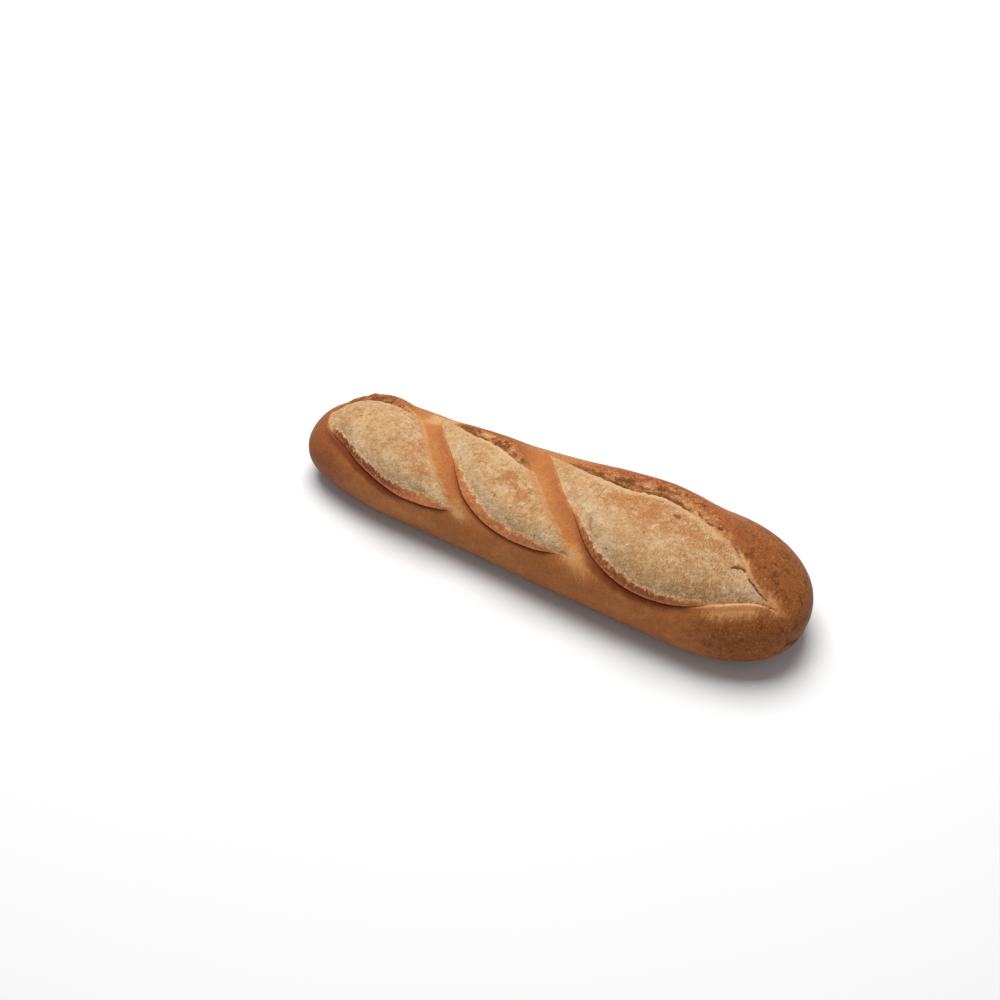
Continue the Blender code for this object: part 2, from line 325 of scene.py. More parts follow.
def closed_skin(name, rows, first, last, marks):
    """Joins rows of points, each a closed ring, into a skin with a pole at each end.

    rows is an array (rings, points in a ring, 3), first and last are the poles, and marks holds
    one array (rings, points) for each attribute. A pole takes the mean of the ring beside it.
    """
    rings, around, _ = rows.shape
    points = np.concatenate([rows.reshape(-1, 3), [first, last]])
    here = np.arange(rings * around).reshape(rings, around)
    beside = np.roll(here, -1, axis=1)
    quads = np.stack([here[:-1], beside[:-1], beside[1:], here[1:]], axis=-1).reshape(-1, 4)
    start_fan = np.stack([np.full(around, rings * around), beside[0], here[0]], axis=-1)
    end_fan = np.stack([np.full(around, rings * around + 1), here[-1], beside[-1]], axis=-1)
    corners = np.concatenate([quads.ravel(), start_fan.ravel(), end_fan.ravel()])
    sizes = np.concatenate([np.full(len(quads), 4), np.full(2 * around, 3)])
    mesh = bpy.data.meshes.new(name)
    mesh.vertices.add(len(points))
    mesh.vertices.foreach_set("co", points.ravel())
    mesh.loops.add(len(corners))
    mesh.loops.foreach_set("vertex_index", corners)
    mesh.polygons.add(len(sizes))
    mesh.polygons.foreach_set("loop_start", np.cumsum(sizes) - sizes)
    mesh.update(calc_edges=True)
    for mark, values in marks.items():
        values = np.broadcast_to(values, (rings, around))
        filled = np.concatenate([values.ravel(), [values[0].mean(), values[-1].mean()]])
        mesh.attributes.new(mark, "FLOAT", "POINT").data.foreach_set("value", filled.astype(np.float32))
    mesh.shade_smooth()
    piece = put_in_scene(name, mesh)
    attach(piece, "root")
    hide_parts(NODE)
    print(f"{name}: {2 * len(quads) + 2 * around} triangles")
    return piece


# %% [markdown]
# ## Marks drawn one by one
# Noise makes a surface rough everywhere alike, but this roll has wrinkles, cracks and toasted
# patches of its own. They are listed by their places on the skin, and two functions turn the
# lists into fields: grooves along drawn lines, and soft round patches.


# %% Grooves and patches
WOBBLE, WOBBLE_SIZE = 0.45 * MM, 1.6 * MM


def traced(lines, x, girth):
    """Depth of grooves drawn on the skin: an S-curve of the distance from each piece of each line.

    The place is first moved a little by noise, so that the lines are as ragged as cracks.
    """
    at = np.stack(np.broadcast_arrays(x, girth, 0.0), axis=-1)
    x, girth = [place + WOBBLE * rough_noise(at, WOBBLE_SIZE, seed) for place, seed in ((x, 7), (girth, 8))]
    depth = np.zeros(x.shape)
    for deep, wide, path in lines:
        points = np.array(path) * (MM, DEGREE * GIRTH_RADIUS)
        for a, b in zip(points[:-1], points[1:]):
            ax, ag = x - a[0], girth - a[1]
            t = np.clip((ax * (b - a)[0] + ag * (b - a)[1]) / ((b - a) ** 2).sum(), 0.0, 1.0)
            away = np.hypot(ax - t * (b - a)[0], ag - t * (b - a)[1])
            depth = np.maximum(depth, deep * MM * fade(away, 2.0 * wide * MM))
    return depth


def patches(discs, x, girth, squash=1.0):
    """Soft round patches that add up: each fades like a bell curve from its centre.

    With a squash of 2 each is half as wide round the loaf as it is long.
    """
    total = np.zeros(np.broadcast_shapes(x.shape, girth.shape))
    for disc_x, angle, radius, strength in discs:
        away = np.hypot(x - disc_x * MM, squash * (girth - angle * DEGREE * GIRTH_RADIUS)) / (radius * MM)
        total += strength * np.exp(-away ** 2)
    return total


def count(*tables):
    """How many marks there are in tables that have a group for each score."""
    return sum(len(group) for table in tables for group in table)


# %% [markdown]
# ## The crust
# The crust is the loaf itself with the scores let into it. Inside a score it sinks out of sight,
# because the crumb is a piece of its own. On the far side it rises to a lip, the flap that the
# opening dough pushed up. The rings lean with the scores, so that a strip of crust between two
# scores has its edges along the mesh and not across it.

# %% Sizes and marks of the crust
CRUST_RINGS, CRUST_COLUMNS = 430, 228
TOP_CROWDING, SIDE_CROWDING, SLANT = 0.40, 0.12, 0.075
DIMPLE_HEIGHT, DIMPLE_SIZE, DIMPLE_SEED = 0.10 * MM, 4.5 * MM, 23
SKIRT_FROM, SKIRT_TO = 95.0, 130.0
SINK, SINK_RUN = 3.0 * MM, 1.6 * MM  # how far the crust dives below the crumb, and over what run
GROOVE_DEPTH, GROOVE_RUN = 0.10 * MM, 1.8 * MM
EDGE_RISE, EDGE_RUN = 0.8 * MM, 3.5 * MM
BANK_SINK, BANK_SINK_RUN = 4.5 * MM, 2.0 * MM
RIM_HEIGHT, RIM_RUN, RIM_SIZE, RIM_SEED = 1.0 * MM, 4.0 * MM, 2.6 * MM, 29
GOLD_FADE = 12.0 * MM             # how far before its end the golden edge of a score starts to fade
GOLD_BAND, FULL_GOLD_BAND, PALE_BAND = 6.0 * MM, 8.0 * MM, 1.6 * MM
LIP_BAND, SHADE_BESIDE_BAND, STRETCHED_BAND = 5.0 * MM, 7.0 * MM, 7.0 * MM
FLOUR_BAND, CRUMB_BAND = 2.6 * MM, 1.8 * MM
EAR_SHADOW, SCORCH_SHADOW = 2.2 * MM, 5.5 * MM
CRUMBLED_FROM, SHADE_BESIDE_UNTIL, CRUMBS_UNTIL = 0.5, 0.52, 0.36  # turns of a score
FLOUR = (  # X in millimetres, angle, radius in millimetres and strength
    (-72.5, -32, 5, 0.8), (-77, -24, 3.5, 0.6), (-67, -41, 5, 0.9), (-76, -40, 4, 0.6), (-39, 58, 2.8, 1),
    (-36, 59.5, 3, 0.8), (23, 54, 2.6, 1), (26, 55, 2.8, 0.7), (24, 47, 4, 0.35), (-43, 49, 4, 0.35),
    (124, 29, 2.5, 0.25))
SCORCH = (  # the same for places that scorched
    (-88, -31, 6, 0.4), (101.5, -5, 2.4, 0.7), (104, 1, 2.4, 0.5), (99, -3, 1.4, 0.7),
    (132.5, 92, 3, 0.9), (112.5, 50, 3, 0.5), (118, 2, 4.5, 0.3), (112.5, -4, 5, 0.45),
    (126.5, 8, 5, 0.35), (121, 55, 3.5, 0.35), (106, 62, 3.5, 0.3), (112, -12, 4, 0.25),
    (124, 12, 4, 0.3))
FOLDS = (  # depth and width in millimetres, then points: X in millimetres and angle
    (0.12, 0.8, ((126, 36), (129.2, 42), (131.5, 60))),
    (0.8, 0.8, ((131.5, 88), (133, 98), (133.5, 110))),
    (0.8, 0.4, ((106.2, 12), (107.4, 13.3), (111.8, 17.3), (115, 20.3), (117.2, 21.9), (118.6, 23.5))),
    (0.9, 0.3, ((88.8, -8.5), (90, -7.5))), (0.9, 0.4, ((92.6, -4.5), (94.3, -3), (95.5, -3))),
    (1, 0.5, ((95.6, -1), (97.5, 0.5))))
GOLD = (  # golden places on the near side, where the crust was stretched under the tips
    (26, 52, 7.5, 0.8), (33, 61, 8, 0.5), (-41, 50, 6, 0.5), (-34, 62, 7, 0.3), (113, 26, 5, 0.4),
    (121, 27, 6, 0.45), (127, 31, 4, 0.3), (103, 4, 3.5, 0.5), (99, 1, 3, 0.5), (109, 10, 3, 0.3),
    (114, 15, 3, 0.3), (120, 20, 3.5, 0.35))
print("drawn on the crust:", len(FLOUR + SCORCH + GOLD), "patches and", len(FOLDS), "folds")

# %% [markdown]
# Beside a score the crust has small forms of its own, and each is a height that fades away from
# one of the score's lines. The same distances are kept as marks. They are numbers from 0 to 1
# that tell the finish where a lip, a golden edge, flour or the shade of an ear lies.

# %% Shape the crust beside one score
def crust_relief(score, x, girth, noise):
    """Height of the crust about one score, with marks for the finish.

    Below the ear's foot: a groove, or a low raised edge where there is no ear. Inside: a drop
    under the crumb. Beyond the far edge, where it is torn: a drop under the torn bread, and then
    the lip, which sinks back into the loaf.
    """
    turn = x_turn(score, x)
    near, foot, far = girths(score, turn)
    _, foot_stretch, far_stretch = stretches(score, turn)
    shown, torn = tip_fade(turn), half_wave(score, x, score.torn)
    ear = ear_share(turn, near, foot)
    below, beyond = (girth - foot) / foot_stretch, (far - girth) / far_stretch
    tear_width = score.tear_width * torn

    near_side, far_side, whole = below > -SINK_RUN, beyond > -SINK_RUN, 1.0 - torn
    groove = -GROOVE_DEPTH * ear * fade(np.abs(below), GROOVE_RUN)
    golden = smooth(9.0 * (turn - score.golden_from)) * smooth((score.end - x) / GOLD_FADE)
    raised = EDGE_RISE * golden * fade(below, EDGE_RUN) * (1.0 + 0.5 * noise)
    crest = score.lip_rise * half_wave(score, x, score.lip) * fade(beyond - tear_width, LIP_SPREAD)
    outer = np.where(far_side, crest, groove + raised)
    inside = smooth(-below / SINK_RUN) * smooth(-beyond / SINK_RUN)
    under_bank = torn * smooth((tear_width - beyond) / BANK_SINK_RUN + 0.3)
    under_bank *= smooth(1.0 + beyond / SINK_RUN)
    late = smooth(4.0 * (turn - CRUMBLED_FROM))
    crumbs = RIM_HEIGHT * noise * fade(beyond, RIM_RUN) * late * whole * far_side
    height = (outer + crumbs - (BANK_SINK + crest) * under_bank) * (1.0 - inside) - SINK * inside

    lip_share = crest / score.lip_rise
    strip = score.golden_from > 1.0   # the crust beyond this score is a strip before the next one
    near_crumbs = fade(below, CRUMB_BAND) * smooth(6.0 * (CRUMBS_UNTIL - turn)) * near_side
    marks = {
        "lip": np.maximum(torn * fade(np.abs(beyond - tear_width), LIP_BAND), lip_share) * far_side,
        "golden_edge": golden * fade(below, GOLD_BAND + FULL_GOLD_BAND * golden) * near_side,
        "pale_edge": golden * fade(below, PALE_BAND) * near_side,
        "under_ear": ear * smooth(1.1 - below / EAR_SHADOW) * near_side,
        "shade": scorch_and_shade_share(score, turn) * smooth(1.3 - below / SCORCH_SHADOW) * near_side,
        # painted shade: the crust is darkened beside a dome's near edge, where the dome shades the strip
        "shade_beside_dome": fade(below, SHADE_BESIDE_BAND) * smooth(3.0 * (SHADE_BESIDE_UNTIL - turn)) * near_side,
        "stretched": fade(beyond, STRETCHED_BAND) * whole * far_side * fade(lip_share, 0.5) * strip,
        "flour": np.maximum(0.8 * fade(beyond, FLOUR_BAND) * whole * far_side, 0.85 * near_crumbs),
    }
    return shown * height, {name: shown * values for name, values in marks.items()}


# %% [markdown]
# The whole crust is the loaf's own grid with that relief added for each score in turn. Its
# columns crowd together on top, where there is most to see, and the sole stays smooth.

# %% Model the crust
def crust():
    """The whole skin of the loaf, from tip to tip."""
    row = np.arange(1, CRUST_RINGS + 1)[:, None] / (CRUST_RINGS + 1)
    turn = 2.0 * np.pi * np.arange(CRUST_COLUMNS)[None, :] / CRUST_COLUMNS - np.pi
    angle = turn - TOP_CROWDING * np.sin(turn) + SIDE_CROWDING * np.sin(2.0 * turn)
    share = row + SLANT * np.sin(angle) * np.sin(np.pi * row) ** 2
    angle = np.broadcast_to(angle, share.shape)
    loaf = plain_loaf(share, angle)
    x, closing = along_roll(share)
    girth = GIRTH_RADIUS * angle
    height = lumps(loaf) + DIMPLE_HEIGHT * rough_noise(loaf, DIMPLE_SIZE, DIMPLE_SEED)
    marks = {"underside": smooth((np.abs(angle) / DEGREE - SKIRT_FROM) / (SKIRT_TO - SKIRT_FROM))}
    noise = rough_noise(loaf, RIM_SIZE, RIM_SEED)
    for score in SCORES:
        rise, found = crust_relief(score, x, girth, noise)
        height = height + rise
        for name, values in found.items():
            marks[name] = np.maximum(marks.get(name, 0.0), values)
    marks["flour"] = np.maximum(marks["flour"], patches(FLOUR, x, girth))
    marks["golden_edge"] = np.maximum(marks["golden_edge"], patches(GOLD, x, girth))
    marks["scorched"] = patches(SCORCH, x, girth)
    folds = traced(FOLDS, x, girth)
    marks["folds"] = folds / MM
    height -= folds
    skirt = (1.0 - marks["underside"]) * smooth(2.0 * closing)
    rows = loaf + loaf_normal(share, angle) * (height * skirt)[..., None]
    poles = [plain_loaf(np.array(end), np.array(0.0)) for end in (0.0, 1.0)]
    return closed_skin("crust", rows, *poles, marks)


crust_piece = crust()

# %% [markdown]
# ## The crumb domes
# Each score is filled by a dome of bread. Its section is a closed loop: up the rounded face of
# the ear, which overhangs the crust, across the arched top, down into the seam or the torn
# valley, and back underneath, where nobody looks. Carrying that loop from tip to tip along the
# score gives a leaf-shaped pillow whose mesh follows the edges exactly.

# %% Sizes and marks of the domes
DOME_ROWS = (330, 330, 460)
EAR_POINTS, TOP_POINTS, DROP_POINTS, UNDER_POINTS = 30, 140, 10, 8
OVERHANG = -25.0 * DEGREE         # how far round, below level, the ear's rounded face goes on
GRAIN_HEIGHT, GRAIN_SIZE = 0.30 * MM, 3.4 * MM
SWELL_HEIGHT, SWELL_SIZE = 0.55 * MM, 12.0 * MM
TOOTH_HEIGHT, TOOTH_SIZE = 0.5 * MM, 1.7 * MM
FRAY_WIDTH, FRAY_SIZE = 0.8 * MM, 2.6 * MM
SEAM_RISE, SEAM_RUN = 0.15 * MM, 4.0 * MM
BURIED = 2.6 * MM                 # how far the dome reaches below its edges
FLUSH = 0.25 * MM                 # how far its tips stand over the crust
EAR_ROUNDNESS = 0.2               # less than 1, so that its face is steep and its shoulder full
SEAM_DEPTH, SEAM_UNDERCUT, UNDERCUT = 0.8 * MM, 0.9 * MM, 0.3 * MM
DOME_SHIFT = 40.0 * MM            # moves the noise on from one dome to the next
FRAY_SEED, SWELL_SEED, GRAIN_SEED, TOOTH_SEED = 15, 30, 40, 50
OUT_OF_SIGHT = 99.0               # a distance for places that no distance is measured for
CREASES = (  # depth and width in millimetres, then points: X in millimetres and angle
    ((0.5, 0.45, ((-86, -18), (-83, -16))), (0.4, 0.4, ((-81.5, -8), (-79.5, -6.5)))),
    ((1, 0.45, ((-29, -17), (-24.9, -13), (-20.5, -9.5))),),
    ((0.5, 0.45, ((18.1, -6), (18.5, -10), (19.7, -13), (21.9, -12))),
     (0.4, 0.45, ((23.9, 0), (24.1, -6), (24.6, -12))), (0.3, 0.4, ((8.4, -3), (9.1, -9))),
     (0.3, 0.7, ((31.4, 0), (32, -6))), (0.5, 0.6, ((27, 19), (28, 23), (29.4, 27))),
     (0.3, 0.4, ((15.7, 6), (16.4, 0))), (0.3, 0.4, ((30.5, 31), (32, 34))),
     (0.15, 0.35, ((80, 24), (81.1, 12))), (0.15, 0.35, ((83.7, 26), (84.1, 11))),
     (0.15, 0.35, ((86.8, 24), (87.4, 12))), (0.15, 0.35, ((89.9, 22), (90.3, 13))),
     (0.15, 0.35, ((76.9, 29), (77.7, 18))),
     (1, 0.45, ((96.8, 10.3), (98.2, 8.6), (99.4, 7.5), (101.5, 6.5), (103, 8))),
     (0.9, 0.38, ((106, 12.2), (107.4, 13.7), (109.8, 15.8), (111.8, 17.8), (115, 20.7), (117.2, 22.3)))),
)
TOAST = (  # X in millimetres, angle, radius in millimetres and strength
    ((-110, 2, 4, 0.7), (-111, 14, 3.5, 0.5), (-103, 5, 4, 0.5), (-96, 8, 4, 0.3), (-66, 27, 4, 0.8),
     (-62, 33, 4.5, 0.8), (-75, 6, 5, 0.6), (-69, 13, 5, 0.6), (-84, 13, 5, 0.35), (-58, 37, 4.5, 0.5)),
    ((-24, 6, 6, 0.8), (-19, 10, 5, 1), (-12, 15, 6, 1.2), (-7, 24, 6, 0.9), (-38, 4, 4, 0.4),
     (-46, -10, 4.5, 0.5), (0, 31, 5, 0.4), (-34, 31, 3, 1), (-29.5, 37, 3, 1), (-11, 49, 3, 0.9),
     (-4, 49, 3, 0.9)),
    ((36, -9, 6, 0.8), (44, -8, 7, 1.1), (53, -6, 7, 1.3), (62, -5, 7, 1), (70, -4, 6, 0.8),
     (74, 2, 5, 0.5), (82, -1, 6, 0.9), (89, 1, 4.5, 0.6), (31, -3, 5, 0.7), (27, 5, 4, 0.6)),
)
PALE = (  # the same for floury patches
    ((-118.5, 10, 4, 0.7), (-105.8, -17, 5, 0.6), (-93.8, -13, 5, 0.7), (-84.3, -11, 5, 0.7),
     (-108, 22, 5, 0.8), (-99, 31, 5, 0.9), (-90.6, 34, 5, 0.9), (-79.7, 38, 5, 0.8), (-66.4, 43, 5, 0.5),
     (-56, 43, 5, 0.6), (-48, 48, 4, 0.7), (-76, 26, 6, 0.3)),
    ((-60, -24, 5, 0.8), (-55, -8, 5, 0.8), (-50, 1, 5, 0.9), (-45, 8, 5, 0.9), (-26.3, -9, 5, 0.7),
     (-32, -7, 5, 0.8), (-20.5, -4, 4, 0.6), (-38, 20, 5, 0.7), (-28, 29, 5, 0.5), (-14, 38, 5, 0.5),
     (-4, 41, 5, 0.5), (8, 46, 5, 0.6), (15, 48, 4, 0.7)),
    ((6.6, -14, 5, 0.4), (16.4, 1, 6, 0.7), (22, 12, 6, 0.9), (28, 17, 6, 0.9), (35, 17, 6, 0.6),
     (76, -11, 4, 0.8), (84, -9, 4, 0.8), (60.3, -19, 3, 0.6), (36, 30, 6, 0.7), (43, 37, 6, 0.6),
     (98, 18, 6, 0.4), (108, 23, 5, 0.9), (109, 15.5, 4, 0.9), (103, 12, 4, 0.6), (101, 20, 6, 0.7),
     (115, 25, 5, 0.9), (8, -24, 5, 0.6)),
)
SPOTS = (  # the same for small dark spots
    ((-103, -1, 0.8, 0.5), (-92, 20, 0.7, 0.4)),
    ((-22, 29, 0.9, 0.8), (5, 48, 1, 0.7), (-6, 27, 0.8, 0.5)),
    ((62.9, -9, 1.3, 1), (61.2, -9.5, 0.9, 1), (31.8, -5, 1.2, 0.5), (40, 36, 1, 0.6),
     (43, 17, 0.9, 0.4)),
)
print("drawn on the domes:", count(TOAST, PALE, SPOTS), "patches and", count(CREASES), "creases")

# %% [markdown]
# The four stretches of the loop are worked out one after another, each from where the last one
# ends. Noise then makes the top uneven and crumbles the ear's face, and the creases are cut in.

# %% Model the domes
def dome_top(ear, across, width, torn, in_far):
    """Height of the dome's top: the ear's height fading across, the arch, and the crest of the tear."""
    ear_rise = EAR_RISE * ear - LOW_EDGE * (1.0 - ear)
    arch = DOME_RISE * np.sin(np.pi * across) * np.minimum(width / DOME_SPAN, 1.0)
    crest = CREST_RISE * torn * fade(in_far, CREST_RUN)
    return ear_rise * (1.0 - smooth(across)) + arch + crest + SEAM_RISE * smooth(3.0 * across)


def dome(score, number):
    """One dome, as rows of loops: the ear's face, the top, the drop at the far edge and the underside."""
    rows_here = DOME_ROWS[number - 1]
    turn = np.arange(1, rows_here + 1)[:, None] / (rows_here + 1)
    x = turn_x(score, turn)
    near, foot, far = girths(score, turn)
    near_stretch, foot_stretch, far_stretch = stretches(score, turn)
    shown, torn = tip_fade(turn), half_wave(score, x, score.torn)
    ear = ear_share(turn, near, foot)
    width = (near - far) * 2.0 / (near_stretch + far_stretch)
    fray = FRAY_WIDTH * noise_along(x, FRAY_SIZE, FRAY_SEED + number)
    far = far + fray * (0.6 + 0.4 * np.maximum(torn, smooth(5.0 * (turn - 0.7)))) * shown * far_stretch
    near = near + 0.5 * fray * shown * near_stretch

    swing = np.linspace(OVERHANG, np.pi / 2, EAR_POINTS)[None, :]
    rim = dome_top(ear, 0.0, width, torn, width)
    ear_girth = near + EAR_REACH * (foot - near) * np.cos(swing)
    ear_height = np.where(swing > 0.0, rim * np.abs(np.sin(swing)) ** EAR_ROUNDNESS, BURIED) * np.sin(swing)

    across = np.linspace(0.0, 1.0, TOP_POINTS + 1)[None, 1:]
    top_girth = near + (far - near) * across
    top_height = dome_top(ear, across, width, torn, (top_girth - far) / far_stretch)

    drop = np.linspace(0.0, 1.0, DROP_POINTS + 1)[None, 1:]
    depth = SEAM_DEPTH + (VALLEY_DEPTH + CREST_RISE) * torn
    undercut = SEAM_UNDERCUT * (1.0 - torn) + UNDERCUT
    drop_girth = far - undercut * np.sin(drop * np.pi / 2) * far_stretch
    drop_height = top_height[:, -1:] - depth * (1.0 - np.cos(drop * np.pi / 2))

    back = np.linspace(0.0, 1.0, UNDER_POINTS + 2)[None, 1:-1]
    under_girth = drop_girth[:, -1:] + (ear_girth[:, :1] - drop_girth[:, -1:]) * back
    under_height = drop_height[:, -1:] + (ear_height[:, :1] - drop_height[:, -1:]) * back
    under_height -= BURIED * np.sin(np.pi * back)

    girth = np.concatenate([ear_girth, top_girth, drop_girth, under_girth], axis=1)
    height = np.concatenate([ear_height, top_height, drop_height, under_height], axis=1)
    x = np.broadcast_to(x, girth.shape)

    stretches_of_loop = (ear_girth, top_girth, drop_girth, under_girth)

    def along_loop(*values):
        parts = zip(values, stretches_of_loop)
        return np.concatenate([np.broadcast_to(value, part.shape) for value, part in parts], axis=1)

    face = along_loop(np.cos(swing), 0.0, 0.0, 0.0)
    rough = along_loop(smooth(1.0 + swing), 1.0, 0.5 * (1.0 - drop), 0.0)
    at = np.stack(np.broadcast_arrays(x, girth, DOME_SHIFT * number), axis=-1)
    creases = traced(CREASES[number - 1], x, girth)
    relief = SWELL_HEIGHT * lattice_noise(at, SWELL_SIZE, SWELL_SEED + number)
    relief += GRAIN_HEIGHT * rough_noise(at, GRAIN_SIZE, GRAIN_SEED + number)
    crumbling = smooth(4.0 * face) * smooth(3.0 - 3.0 * face) * ear
    relief *= smooth((girth - far) / far_stretch / SEAM_RUN + torn)
    relief -= creases
    teeth = rough_noise(at * (1.0, 0.35, 1.0), TOOTH_SIZE, TOOTH_SEED + number)
    relief += TOOTH_HEIGHT * teeth * crumbling
    sunk = BURIED * (1.0 - smooth(turn / 0.03) * smooth((1.0 - turn) / 0.03))
    flush = FLUSH * (1.0 - shown) * along_loop(np.maximum(np.sin(swing), 0.0), 1.0, 0.0, 0.0)
    rows = on_loaf(x, girth, shown * (height + rough * relief) + flush - sunk)
    ends = [on_loaf(np.array(at_x), GIRTH_RADIUS * DEGREE * np.array(angle), np.array(-BURIED))
            for at_x, angle in ((score.start, score.near[0]), (score.end, score.near[-1]))]
    marks = {
        "face": face,
        "scorch": scorch_and_shade_share(score, turn),
        "baked": smooth((near / (GIRTH_RADIUS * DEGREE) + 5.0) / 20.0) * smooth((foot - near) / (2.5 * MM)),
        "toast": patches(TOAST[number - 1], x, girth),
        "spots": patches(SPOTS[number - 1], x, girth),
        "creases": creases / MM,
        "pale": patches(PALE[number - 1], x, girth),
        "low": smooth(2.0 * ear) * shown,
        "torn": torn,
        "from_near": along_loop((near - ear_girth) / near_stretch / MM,
                                (near - top_girth) / near_stretch / MM, OUT_OF_SIGHT, OUT_OF_SIGHT),
        "from_far": along_loop(OUT_OF_SIGHT, (top_girth - far) / far_stretch / MM, 0.0, 0.0),
    }
    return closed_skin(f"crumb_{number}", rows, *ends, marks)


dome_pieces = [dome(score, number) for number, score in enumerate(SCORES, start=1)]

# %% [markdown]
# ## The torn banks
# On the far side of each score the bread did not rise smoothly: it ripped. The bank between the
# crumb and the lip is open, blistered bread with holes in it. It is a narrow closed strip with a
# much rougher surface than the dome, tucked under the dome on one side and under the lip on the
# other.

# %% Sizes and marks of the banks
BANK_ROWS, BANK_POINTS, BANK_UNDER = (240, 260, 380), 60, 8
CRAG_HEIGHT, CRAG_SIZE = 1.3 * MM, 3.6 * MM
PIT_DEPTH, PIT_SIZE = 1.8 * MM, 1.5 * MM
CRACK_AT, CRACK_WIDTH, CRACK_SIZE = 2.3 * MM, 1.0 * MM, 6.0 * MM
HOLES = (  # X in millimetres, angle, radius in millimetres and strength
    ((-118, -38, 2, 0.9), (-114, -42, 1.6, 0.8), (-111.4, -38, 2.2, 1), (-107.3, -39.5, 2.2, 1),
     (-102, -42, 1.6, 0.7)),
    ((-58, -39, 1.5, 0.7), (-55.2, -37.5, 1.9, 1), (-51, -37, 1.3, 0.8), (-42, -31.5, 1.4, 0.9),
     (-38.1, -30.5, 1.4, 0.9), (-35, -31, 1.7, 1), (-32, -26.5, 1.4, 0.8), (-26, -18, 1.2, 0.7)),
    ((25.5, -27.5, 1.8, 0.8), (28.5, -28, 2.2, 0.9), (31.5, -28, 2.2, 0.9), (34, -27.5, 1.6, 0.8),
     (46.5, -33.5, 1.7, 0.7), (49.5, -34, 1.9, 0.8), (71, -30.5, 1.5, 0.9), (67, -30.5, 1.2, 0.6),
     (76, -24, 1, 0.7), (24, -36, 1, 0.7), (54, -39, 1.2, 0.7), (14, -35, 1.6, 0.7), (39, -39, 1.6, 0.7),
     (60, -36, 1.4, 0.6)),
)
TAN = (  # the same for places where a bubble's pale wall shows
    ((-105, -33, 3, 0.8), (-99, -31, 3, 0.8), (-112, -33, 2.5, 0.6)),
    ((-47, -33, 3, 0.8), (-43, -34, 2.5, 0.7), (-29, -23, 3, 0.6), (-23, -14, 3, 0.6)),
    ((54, -25.5, 3, 0.9), (59, -25, 3.2, 1), (64, -23.5, 3.2, 1), (69, -21, 3, 0.9),
     (74, -18.5, 2.6, 0.9), (79, -14.5, 2.4, 0.9), (84, -10.5, 2.4, 0.9), (89, -7, 2.2, 0.9),
     (24, -31, 2.6, 0.5), (46, -27, 2.6, 0.6), (8, -31, 2.6, 0.6), (41, -31, 3, 0.8)),
)
CRACKS = (  # depth and width in millimetres, then points: X in millimetres and angle
    ((1.2, 0.6, ((-122, -16), (-119, -24), (-116, -30))),),
    ((1.2, 0.5, ((-64, -41), (-58, -40), (-52, -37.5))),),
    ((1, 0.3, ((-2, -32.5), (6.1, -30.7), (14, -28.1), (20.7, -26.7))),
     (0.8, 0.4, ((39, -26.5), (41.9, -27.3), (45, -29.7), (50, -33), (57, -34.5), (64, -33.5))),
     (1, 0.3, ((66, -27), (68.1, -24.7), (70.5, -22.5), (73.3, -19.9), (77, -16.7), (80.5, -15.6),
               (84.5, -14.1)))),
)
BANK_START, BANK_OVER = -1.8 * MM, 1.6 * MM  # it runs from under the dome's edge to over the lip
BANK_SHIFT, BANK_FRAY, BANK_FRAY_SIZE, TUCK = 25.0 * MM, 1.3 * MM, 4.0 * MM, 1.2 * MM
BANK_FRAY_SEED, CRAG_SEED, PIT_SEED, CRACK_SEED, WANDER_SEED = 60, 70, 80, 90, 95
HOLE_SQUASH, HOLE_RAGGED, CRACKED_UNTIL = 1.6, 0.6, 0.58
print("drawn on the banks:", count(HOLES, TAN), "patches and", count(CRACKS), "cracks")

# %% [markdown]
# A bank's face climbs from the bottom of the tear to the lip and is roughened by crags. Its pits
# are the drawn holes and cracks, with one more crack that runs along the foot of the slope.

